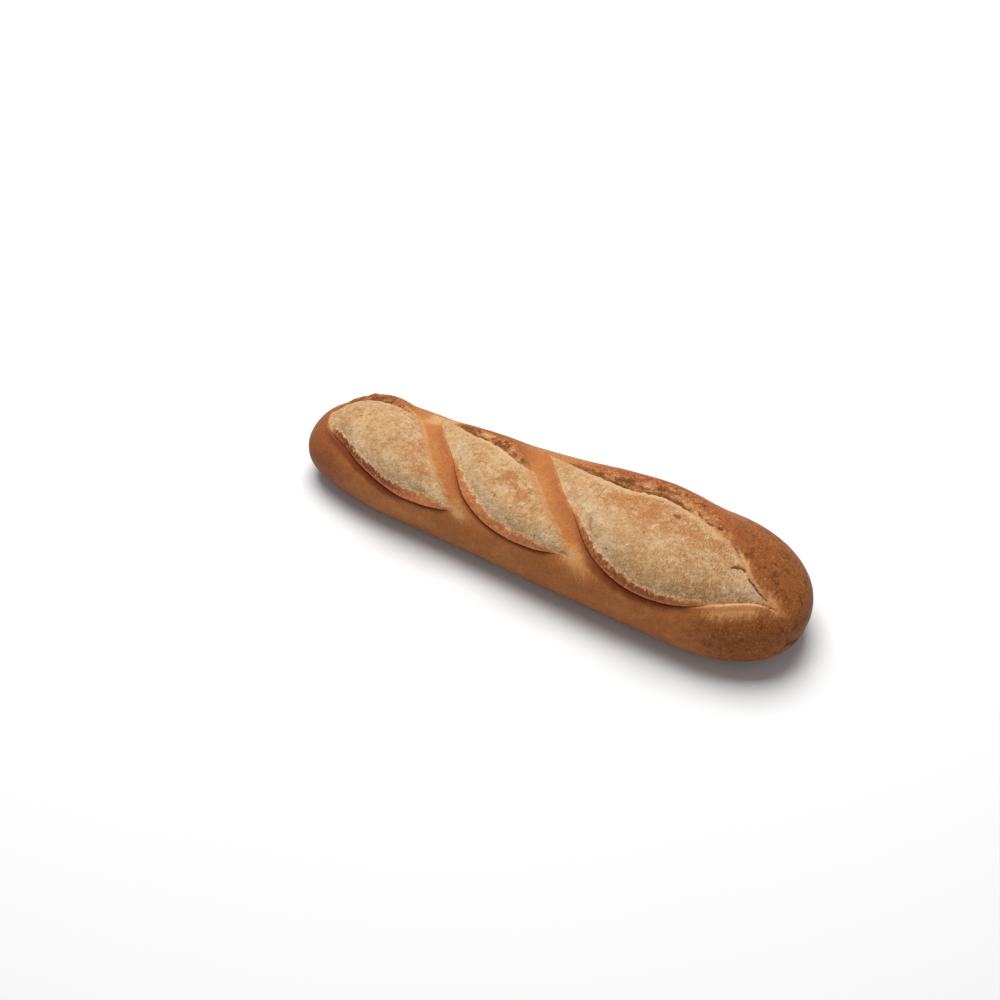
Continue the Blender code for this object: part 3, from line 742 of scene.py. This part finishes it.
# %% Model the banks
def bank(score, number):
    """The torn strip along one score's far edge, as rows of loops: its face and its underside."""
    run = np.arange(1, BANK_ROWS[number - 1] + 1)[:, None] / (BANK_ROWS[number - 1] + 1)
    run = 0.5 * (1.0 - np.cos(np.pi * run))
    x = score.start + (score.end - score.start) * (score.torn[0] + (score.torn[1] - score.torn[0]) * run)
    turn = x_turn(score, x)
    _, _, far = girths(score, turn)
    _, _, far_stretch = stretches(score, turn)
    torn = half_wave(score, x, score.torn)
    tear_width, lip = score.tear_width * torn, score.lip_rise * half_wave(score, x, score.lip)

    up = np.linspace(0.0, 1.0, BANK_POINTS)[None, :]
    fray = BANK_FRAY * noise_along(x, BANK_FRAY_SIZE, BANK_FRAY_SEED + number)
    reach = tear_width + (fray + BANK_OVER - BANK_START) * torn
    beyond = BANK_START * torn + reach * up
    slope = smooth((beyond - BANK_START * torn) / np.maximum(tear_width - BANK_START * torn, 0.1 * MM))
    rise = -VALLEY_DEPTH * torn + (lip + VALLEY_DEPTH * torn) * slope
    tuck = TUCK * torn * (smooth(1.0 - up / 0.12) + 1.3 * smooth((up - 0.88) / 0.12))
    girth = far - beyond * far_stretch
    at = np.stack(np.broadcast_arrays(x, girth, BANK_SHIFT * number), axis=-1)
    crags = CRAG_HEIGHT * rough_noise(at, CRAG_SIZE, CRAG_SEED + number)
    ragged = HOLE_RAGGED * rough_noise(at, PIT_SIZE, PIT_SEED + number)
    holes = smooth((patches(HOLES[number - 1], x, girth, HOLE_SQUASH) + ragged - 0.4) / 0.3)
    broken = smooth(1.1 + 2.0 * noise_along(x, CRACK_SIZE, CRACK_SEED + number))
    wander = CRACK_WIDTH * noise_along(x, 0.5 * CRACK_SIZE, WANDER_SEED + number)
    crack = broken * smooth(1.25 - np.abs(beyond - CRACK_AT - wander) / CRACK_WIDTH)
    crack *= smooth((CRACKED_UNTIL - turn) / 0.06)
    drawn = traced(CRACKS[number - 1], x, girth) / MM * smooth(0.75 + 1.6 * ragged)
    pits = np.maximum(np.maximum(holes, crack), drawn)
    open_bread = smooth(up / 0.1) * smooth((1.0 - up) / 0.16)
    height = rise - tuck + torn * open_bread * (crags - PIT_DEPTH * pits)

    back = np.linspace(1.0, 0.0, BANK_UNDER + 2)[None, 1:-1]
    under_girth = far - (BANK_START * torn + reach * back) * far_stretch
    under_height = height[:, -1:] * back + height[:, :1] * (1.0 - back)
    under_height -= VALLEY_DEPTH * torn * np.sin(np.pi * back)
    girth = np.concatenate([girth, under_girth], axis=1)
    height = np.concatenate([height, under_height], axis=1) - BURIED * (1.0 - smooth(4.0 * torn))
    rows = on_loaf(np.broadcast_to(x, girth.shape), girth, height)
    face = {"up_bank": np.broadcast_to(up, pits.shape), "pits": pits * open_bread,
            "tan": patches(TAN[number - 1], x, girth[:, :BANK_POINTS])}
    marks = {name: np.pad(values, ((0, 0), (0, BANK_UNDER))) for name, values in face.items()}
    span = score.end - score.start
    tips = [np.array(score.start + span * share) for share in score.torn]
    ends = [on_loaf(tip, girths(score, x_turn(score, tip))[2], np.array(-BURIED)) for tip in tips]
    return closed_skin(f"torn_bank_{number}", rows, *ends, {**marks, "torn": torn})


bank_pieces = [bank(score, number) for number, score in enumerate(SCORES, start=1)]

# %% [markdown]
# ## Writing materials as sums
# Shader nodes are easier to read as arithmetic. The class below wraps an output socket, so that
# `1 - mask * 0.5` adds the Math nodes it needs, and a Finish holds one material and makes any
# other node from its type, its settings and its inputs.


# %% A socket that can be calculated with
class Wire:
    """An output socket in a node tree. Python's operators on it add Math nodes."""

    def __init__(self, tree, socket):
        self.tree = tree
        self.socket = socket

    def _maths(self, operation, *values):
        node = self.tree.nodes.new("ShaderNodeMath")
        node.operation = operation
        for entry, value in zip(node.inputs, values):
            if isinstance(value, Wire):
                self.tree.links.new(value.socket, entry)
            else:
                entry.default_value = value
        return Wire(self.tree, node.outputs[0])

    def __add__(self, other):
        return self._maths("ADD", self, other)

    def __sub__(self, other):
        return self._maths("SUBTRACT", self, other)

    def __rsub__(self, other):
        return self._maths("SUBTRACT", other, self)

    def __mul__(self, other):
        return self._maths("MULTIPLY", self, other)

    __radd__, __rmul__ = __add__, __mul__


class Finish:
    """One material with its Principled shader."""

    def __init__(self, name, roughness, shine=0.1):
        self.material = bpy.data.materials.new(name)
        self.material.use_nodes = True
        self.tree = self.material.node_tree
        self.shader = self.tree.nodes["Principled BSDF"]
        self.shader.inputs["Roughness"].default_value = roughness
        self.shader.inputs["Specular IOR Level"].default_value = shine
        self.place = self.node("ShaderNodeTexCoord", out="Object")

    def node(self, kind, settings=None, inputs=None, out=0):
        """Adds a node: its settings first, then a value or a link for each named input."""
        node = self.tree.nodes.new(kind)
        for name, value in (settings or {}).items():
            setattr(node, name, value)
        for name, value in (inputs or {}).items():
            if isinstance(value, Wire):
                self.tree.links.new(value.socket, node.inputs[name])
            else:
                node.inputs[name].default_value = value
        return Wire(self.tree, node.outputs[out])

    def mark(self, name):
        """An attribute of the piece's vertices."""
        return self.node("ShaderNodeAttribute", {"attribute_name": name}, out="Fac")

    def noise(self, size, detail=2.0, roughness=0.5, stretch=(1.0, 1.0, 1.0), shift=0.0):
        """Noise from 0 to 1 whose blobs are about size across, in metres, longer where stretch is more."""
        scale = [1.0 / (size * s) for s in stretch]
        place = self.node("ShaderNodeMapping", inputs={"Vector": self.place, "Scale": scale,
                                                       "Location": (shift, shift, shift)}, out="Vector")
        return self.node("ShaderNodeTexNoise", inputs={"Vector": place, "Scale": 1.0, "Detail": detail,
                                                       "Roughness": roughness}, out="Fac")

    def step(self, value, start, end):
        """0 at start, 1 at end and an S-curve between."""
        return self.node("ShaderNodeMapRange", {"interpolation_type": "SMOOTHSTEP"},
                         {"Value": value, "From Min": start, "From Max": end}, out="Result")

    def along(self, axis):
        """The X, Y or Z of the place."""
        return self.node("ShaderNodeSeparateXYZ", inputs={"Vector": self.place}, out=axis)

    def blend(self, share, under, over):
        """Mixes two colours. The node's sockets 6, 7 and 2 are the ones for colours."""
        return self.node("ShaderNodeMix", {"data_type": "RGBA"}, {0: share, 6: under, 7: over}, out=2)

    def layers(self, tone, *coats):
        """Lays coats over a colour one by one: each is the share of it that shows, and its colour."""
        for share, colour in coats:
            tone = self.blend(share, tone, colour)
        return tone

    def colour(self, wire):
        self.tree.links.new(wire.socket, self.shader.inputs["Base Color"])

    def roughness(self, wire):
        self.tree.links.new(wire.socket, self.shader.inputs["Roughness"])

    def cover(self, *pieces):
        """Gives its material to pieces, and says so."""
        for piece in pieces:
            piece.data.materials.append(self.material)
        names = ", ".join(piece.name for piece in pieces)
        print(f"{self.material.name}: {len(self.tree.nodes)} nodes, on {names}")

    def bump(self, height, depth):
        """Raises the surface's shading by height times depth, in metres."""
        normal = self.node("ShaderNodeBump", inputs={"Height": height, "Distance": depth, "Strength": 1.0},
                           out="Normal")
        self.tree.links.new(normal.socket, self.shader.inputs["Normal"])


def rgb(red, green, blue):
    """A colour given as it looks on a screen, from 0 to 255, as the linear values a shader takes."""
    screen = np.array((red, green, blue)) / 255.0
    linear = np.where(screen <= 0.04045, screen / 12.92, ((screen + 0.055) / 1.055) ** 2.4)
    return (*linear.tolist(), 1.0)


# %% [markdown]
# ## The finish of the crust
# Baked crust is brown because its sugars and proteins brown with heat, so it is palest where it
# was stretched late, on the strips between the scores, and darkest at the ends. Under the big
# patches are fine freckles, which are tiny blisters in the skin of the dough.

# %% Brown the crust
crust_finish = Finish("baked_crust", 0.5, shine=0.10)
noise, step, mark = crust_finish.noise, crust_finish.step, crust_finish.mark
heat = noise(26.0 * MM, detail=3.0)
mottle = noise(5.0 * MM, detail=3.0)
freckles = noise(1.0 * MM, detail=3.0, roughness=0.7)
dots = noise(4.5 * MM, detail=4.0, roughness=0.66, shift=3.0)
strokes = noise(0.9 * MM, stretch=(0.9, 4.0, 4.0), shift=5.0)
from_middle, above_table = crust_finish.along("X"), crust_finish.along("Z")
fat_end = step(from_middle + above_table * 0.5, 90.0 * MM, 120.0 * MM)
thin_end = step(from_middle, -90.0 * MM, -118.0 * MM)
low_down = step(above_table, 20.0 * MM, 4.0 * MM)
high_up = step(above_table, 28.0 * MM, 42.0 * MM)
baked = crust_finish.layers(
    rgb(187, 118, 64),
    (step(heat + mottle * 0.7, 0.60, 1.05), rgb(168, 102, 53)),
    (mark("stretched") * 0.4, rgb(200, 136, 78)),
    # painted shade on the crust beside each dome's near edge
    (mark("shade_beside_dome") * 0.85, rgb(160, 87, 40)),
    (high_up * 0.14, rgb(150, 84, 34)),
    (fat_end * 0.92, rgb(138, 79, 37)),
    (thin_end * 0.85, rgb(138, 76, 42)),
    (low_down * (0.55 - fat_end * 0.35), rgb(104, 60, 33)))

# %% [markdown]
# Blisters come next: dark freckles and blots, and light flecks where the skin of a blister is
# thin. There are most of them on the fat end.

# %% Freckle the crust
light_flecks = step(freckles, 0.48, 0.36) * (0.22 + fat_end * 0.5 * step(mottle, 0.42, 0.62))
freckled = crust_finish.layers(
    baked,
    (step(freckles, 0.50, 0.64) * (0.32 + fat_end * 0.30), rgb(98, 50, 20)),
    (step(dots, 0.50, 0.62) * (0.14 + fat_end * 0.55), rgb(96, 48, 19)),
    (light_flecks, rgb(190, 126, 68)))

# %% [markdown]
# Last come the places that the marks point out: the lip, which scorched and is strewn with
# crumbs, the golden edge that was stretched as the third score opened, the flour, the shade
# under the ears, and the drawn folds. Noise is added to a mark before its step, so that its edge
# breaks up into flecks.

# %% Colour the crust beside the scores
by_lip = mark("lip")
crumbled = step(by_lip + freckles + strokes * 0.8, 1.2, 1.9)
scorched = step(mark("scorched") + dots * 0.9 + freckles * 0.5, 1.0, 1.5)
golden = step(mark("golden_edge") * 1.3 + dots * 1.2 + strokes * 1.3 + freckles * 1.7, 2.3, 3.35)
floured = step(mark("flour") + mottle * 1.2 + freckles * 1.8, 1.65, 2.55)
crust_finish.colour(crust_finish.layers(
    freckled,
    (by_lip * 0.85, rgb(142, 76, 38)),
    (crumbled * step(freckles, 0.48, 0.62) * 0.6, rgb(112, 54, 28)),
    (crumbled * step(freckles, 0.46, 0.36) * 0.6, rgb(208, 140, 96)),
    (scorched * 0.75, rgb(92, 46, 20)),
    (golden * 0.85, rgb(210, 148, 90)),
    (mark("pale_edge") * step(mottle + strokes, 0.7, 1.1) * 0.8, rgb(222, 172, 122)),
    (floured * 0.8, rgb(200, 157, 110)),
    # painted shade: a wide dark band below the scorched ears and a narrow one along every ear's foot
    (step(mark("shade") + mottle * 0.6, 0.5, 1.15) * 0.75, rgb(112, 54, 27)),
    (mark("under_ear") * 0.6, rgb(122, 54, 28)),
    # painted shade in the drawn folds, which are also cut into the crust
    (step(mark("folds"), 0.15, 0.7) * 0.85, rgb(88, 56, 28))))
crust_finish.roughness(0.45 + mottle * 0.2)
crust_finish.bump(mottle * 0.5 + freckles * 0.7, 0.4 * MM)
crust_finish.cover(crust_piece)

# %% [markdown]
# ## The finish of the crumb
# The crumb opened late in the bake, so it stayed pale, and the flour that was on the roll dulls
# it. It took colour in patches where it stood highest. Along the ear it was nearest to the heat
# and went red-brown, with fine cracks across.

# %% Colour the crumb
crumb_finish = Finish("floury_crumb", 0.85)
noise, step, mark = crumb_finish.noise, crumb_finish.step, crumb_finish.mark
clouds = noise(9.0 * MM, detail=4.0, roughness=0.6)
blots = noise(3.0 * MM, detail=3.0, roughness=0.6, shift=2.0)
grain = noise(1.0 * MM, roughness=0.65)
combed = noise(0.6 * MM, detail=3.0, roughness=0.6, stretch=(1.0, 3.0, 3.0), shift=5.0)
specks = noise(1.5 * MM, shift=4.0)
from_near, from_far, torn, low_edge = mark("from_near"), mark("from_far"), mark("torn"), mark("low")
right_part = step(crumb_finish.along("X"), 30.0 * MM, 100.0 * MM)
toasted = step(mark("toast") * 0.5 + blots * 1.1 + clouds * 1.5, 1.4, 2.1)
untoasted = 1.0 - toasted * 0.7
floury = step(mark("pale") * 0.6 + blots * 0.5 + clouds * 0.7, 0.8, 1.5)
# greyer crumb with painted shade near the dome's low near edge, darker still towards the fat end
grey_and_shade = step(from_near, 11.0, 1.0) * low_edge
grey_and_shade_tone = crumb_finish.blend(right_part, rgb(166, 142, 108), rgb(136, 102, 58))
broad_tone = crumb_finish.layers(
    rgb(182, 143, 99),
    (toasted * 0.88, rgb(168, 104, 53)),
    (floury * 0.8, rgb(204, 178, 142)),
    (grey_and_shade * 0.6, grey_and_shade_tone),
    # painted shade: the crumb is darker towards the fat end, away from the lamp
    (right_part * 0.32, rgb(146, 104, 66)),
    (step(clouds, 0.50, 0.66) * 0.42, rgb(170, 122, 76)),
    (step(clouds, 0.48, 0.34) * untoasted * 0.42, rgb(212, 182, 144)))

# %% [markdown]
# Over the broad patches lie finer ones, dark and light in turn: blots, grains, strokes that run
# across the score like combed hair, and specks. Along the far edge the crumb is palest where it
# tore, and toasted where it meets the crust.

# %% Give the crumb its grain
over_seam = step(from_far + blots * 6.0, 4.6, 2.6) * (1.0 - torn)
grained_tone = crumb_finish.layers(
    broad_tone,
    (step(blots, 0.50, 0.66) * 0.36, rgb(160, 114, 70)),
    (step(blots, 0.48, 0.36) * untoasted * 0.32, rgb(218, 186, 146)),
    (step(grain, 0.50, 0.68) * 0.28, rgb(140, 96, 56)),
    (step(grain, 0.48, 0.32) * 0.28, rgb(224, 192, 152)),
    (step(combed, 0.50, 0.68) * (0.22 + right_part * 0.33), rgb(144, 104, 64)),
    (step(combed, 0.46, 0.30) * (0.20 + right_part * 0.22), rgb(226, 196, 158)),
    (step(specks, 0.62, 0.72) * 0.4, rgb(132, 82, 44)),
    (step(from_far, 3.0, 0.5) * torn * 0.6, rgb(210, 174, 132)),
    (over_seam * 0.7, rgb(186, 124, 74)))

# %% [markdown]
# The ear has a colour of its own, which takes over from the crumb along a ragged line: `ragged`
# is the distance from the dome's near edge in millimetres, turned round and broken up by noise.
# It is pink-brown with darker cracks, ochre in places, and dark brown where it scorched.

# %% Colour the ears
cracks = noise(1.1 * MM, detail=3.0, roughness=0.6, stretch=(0.9, 1.7, 1.7), shift=9.0)
scorch, browned = mark("scorch"), mark("baked")
ragged = 4.5 * (blots - 0.5) + 3.2 * (cracks - 0.5) - from_near
scorched = step(ragged, 4.4, 2.6) * step(cracks + blots * 0.6, 0.60, 0.78) * scorch
ear_tone = crumb_finish.layers(
    rgb(226, 147, 98),
    (step(cracks, 0.45, 0.7) * 0.5, rgb(176, 98, 54)),
    (scorch * 0.28, rgb(150, 74, 40)),
    (step(ragged, 4.2, 1.4) * step(blots, 0.38, 0.54) * 0.8, rgb(196, 124, 60)),
    (scorched * 0.9, rgb(104, 48, 24)),
    (step(combed, 0.50, 0.62) * (0.25 + scorch * 0.35), rgb(132, 64, 34)),
    (step(combed, 0.46, 0.34) * (0.35 - scorch * 0.25), rgb(232, 166, 118)),
    (0.8 - browned * 0.8, rgb(210, 142, 92)),
    # painted shadow: a dark band along the lowest part of the ear's face, at its foot
    (step(mark("face"), 0.88, 1.0) * browned * 0.5, rgb(128, 56, 28)))
pale_fringe = step(ragged, -1.1, -0.4) * step(cracks, 0.40, 0.56) * low_edge
on_ear = step(ragged, -0.3, 1.1) * step(low_edge, 0.0, 0.5) * (0.5 + browned * 0.5)
crease = mark("creases") + grain * 0.3
crumb_finish.colour(crumb_finish.layers(
    grained_tone,
    (pale_fringe * 0.6, rgb(232, 192, 152)),
    (on_ear, ear_tone),
    (step(crease, 0.2, 0.6) * 0.7, rgb(164, 108, 58)),
    # painted shade in the deepest creases; the shallow ones above are golden-brown
    (step(crease, 0.55, 0.95) * 0.85, rgb(94, 64, 32)),
    (step(mark("spots") + grain * 0.6, 0.5, 1.0) * 0.75, rgb(116, 60, 32))))
crumb_finish.bump(grain * 0.6 + combed * 0.5, 0.6 * MM)
crumb_finish.cover(*dome_pieces)

# %% [markdown]
# ## The finish of the torn banks
# Torn bread is open and uneven: tan where a wall of a bubble shows, dark brown painted shade in its
# holes and cracks, and red-brown towards the lip, which scorched first.

# %% Colour the banks
bank_finish = Finish("torn_bread", 0.85)
noise, step, mark = bank_finish.noise, bank_finish.step, bank_finish.mark
walls = noise(3.2 * MM, detail=3.0, roughness=0.6)
fine = noise(1.0 * MM, roughness=0.6, shift=6.0)
hollow = mark("pits") + fine * 0.5
bank_finish.colour(bank_finish.layers(
    rgb(178, 116, 72),
    (step(walls, 0.40, 0.60), rgb(142, 80, 44)),
    (step(mark("tan") + walls * 1.6, 1.0, 1.8) * 0.85, rgb(204, 152, 102)),
    (step(mark("up_bank"), 0.5, 0.9) * 0.6, rgb(150, 84, 42)),
    (step(fine, 0.52, 0.72) * 0.5, rgb(124, 68, 36)),
    (step(fine, 0.46, 0.34) * 0.5, rgb(218, 160, 112)),
    # painted shade: the holes and cracks are darkened, most where they are deepest
    (step(hollow, 0.3, 0.9) * 0.85, rgb(140, 98, 56)),
    (step(hollow, 0.9, 1.5) * 0.85, rgb(90, 56, 28))))
bank_finish.bump(fine + walls * 0.6, 0.7 * MM)
bank_finish.cover(*bank_pieces)

# %% [markdown]
# ## Floor, light and camera
# The roll lies on a plain pale floor under one broad soft lamp, a little behind it, so that the
# tops of the domes catch the light and the near side falls into soft shade. A weak lamp in front
# and a little light from all round keep that shade from going black.

# %% Lay the floor
HALF_FLOOR, FLOOR_GAP = 3.0, 0.0002
PALE_GREY, PALER_GREY = (0.80, 0.80, 0.80, 1.0), (0.82, 0.82, 0.82, 1.0)
corners = [(x * HALF_FLOOR, y * HALF_FLOOR, -FLOOR_GAP) for x, y in ((-1, -1), (1, -1), (1, 1), (-1, 1))]
floor_mesh = bpy.data.meshes.new("floor")
floor_mesh.from_pydata(corners, [], [(0, 1, 2, 3)])
floor = put_in_scene("floor", floor_mesh)
floor_finish = Finish("pale_floor", 0.9)
floor_finish.colour(floor_finish.blend(floor_finish.noise(0.3), PALE_GREY, PALER_GREY))
floor_finish.cover(floor)

# %% Light it
def lamp(name, at, size, power):
    """A square area lamp that shines on the roll."""
    data = bpy.data.lights.new(name, "AREA")
    data.shape = "SQUARE"
    data.size = size
    data.energy = power
    holder = put_in_scene(name, data)
    holder.location = at
    holder.rotation_mode = "QUATERNION"
    holder.rotation_quaternion = Vector(at).to_track_quat("Z", "Y")
    print(f"{name}: {power} W from a square of {size} m")


lamp("overhead", (-0.28, 0.40, 1.25), 0.9, 24.0)
lamp("fill", (0.9, -1.1, 0.7), 1.2, 1.5)
world = bpy.data.worlds.new("studio")
world.use_nodes = True
background = world.node_tree.nodes["Background"].inputs
background["Color"].default_value = (1.0, 1.0, 1.0, 1.0)
background["Strength"].default_value = 0.25
bpy.context.scene.world = world
bpy.context.scene.view_settings.view_transform = "Standard"

# %% Set up the camera
AZIMUTH, ELEVATION, DISTANCE = 27.0 * DEGREE, 50.0 * DEGREE, 0.80
TARGET = Vector((0.0, MIDDLE_SHIFT, 0.025))
SENSOR_WIDTH, LENS = 36.0, 59.2
SHIFT = (-0.0493, 0.0130)         # the roll lies a little to the side in the picture
level = np.cos(ELEVATION)
back = Vector((np.sin(AZIMUTH) * level, -np.cos(AZIMUTH) * level, np.sin(ELEVATION)))
camera_data = bpy.data.cameras.new("camera")
camera_data.sensor_width = SENSOR_WIDTH
camera_data.lens = LENS
camera_data.shift_x, camera_data.shift_y = SHIFT
camera = put_in_scene("camera", camera_data)
camera.location = TARGET + back * DISTANCE
camera.rotation_mode = "QUATERNION"
camera.rotation_quaternion = back.to_track_quat("Z", "Y")
bpy.context.scene.camera = camera
print("the camera stands at", [round(place, 3) for place in camera.location], "m")
